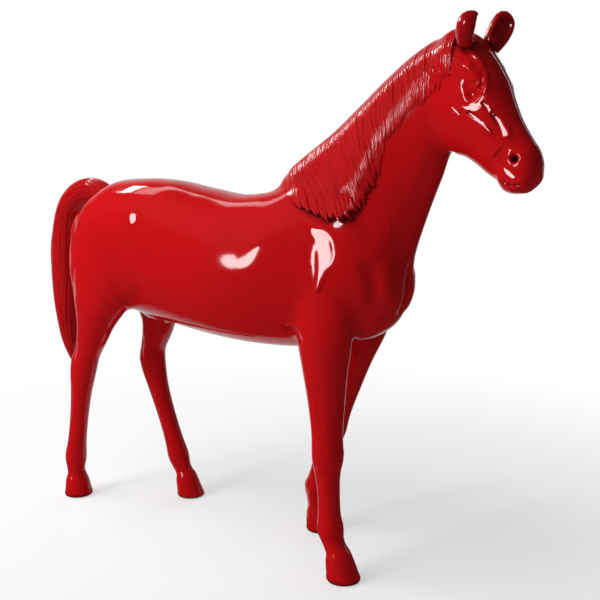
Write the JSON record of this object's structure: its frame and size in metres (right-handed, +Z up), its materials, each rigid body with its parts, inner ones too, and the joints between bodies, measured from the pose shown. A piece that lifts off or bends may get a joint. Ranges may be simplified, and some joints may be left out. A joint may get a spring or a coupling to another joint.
{
  "type": "resin horse sculpture",
  "caption": "Life-size gloss red horse sculpture in a walking stance: hollow body shells and solid legs, mane and tail over a steel tube frame, resting on flat hooves.",
  "frame": {"origin": "on the ground, in the middle of the length and width of the whole sculpture", "axes": "+X towards the nose, +Y towards the left side of the horse, +Z up"},
  "size_m": [2.4874, 0.58, 2.0755],
  "materials": {
    "resin": "high gloss lacquer",
    "hair": "high gloss lacquer over modelled locks",
    "steel": "plain welded tube and plate"
  },
  "bodies": {
    "root": {"trunk_shell_right": "resin", "neck_shell_right": "resin", "head_shell_right": "resin", "ear_right": "resin", "trunk_shell_left": "resin", "neck_shell_left": "resin", "head_shell_left": "resin", "ear_left": "resin", "mane": "hair", "tail": "hair", "leg_front_right": "resin", "hoof_front_right": "resin", "leg_tube_front_right": "steel", "foot_plate_front_right": "steel", "leg_front_left": "resin", "hoof_front_left": "resin", "leg_tube_front_left": "steel", "foot_plate_front_left": "steel", "leg_hind_right": "resin", "hoof_hind_right": "resin", "leg_tube_hind_right": "steel", "foot_plate_hind_right": "steel", "leg_hind_left": "resin", "hoof_hind_left": "resin", "leg_tube_hind_left": "steel", "foot_plate_hind_left": "steel", "shoulder_crossbar": "steel", "hip_crossbar": "steel", "spine_tube": "steel", "neck_tube": "steel"}
  },
  "joints": []
}
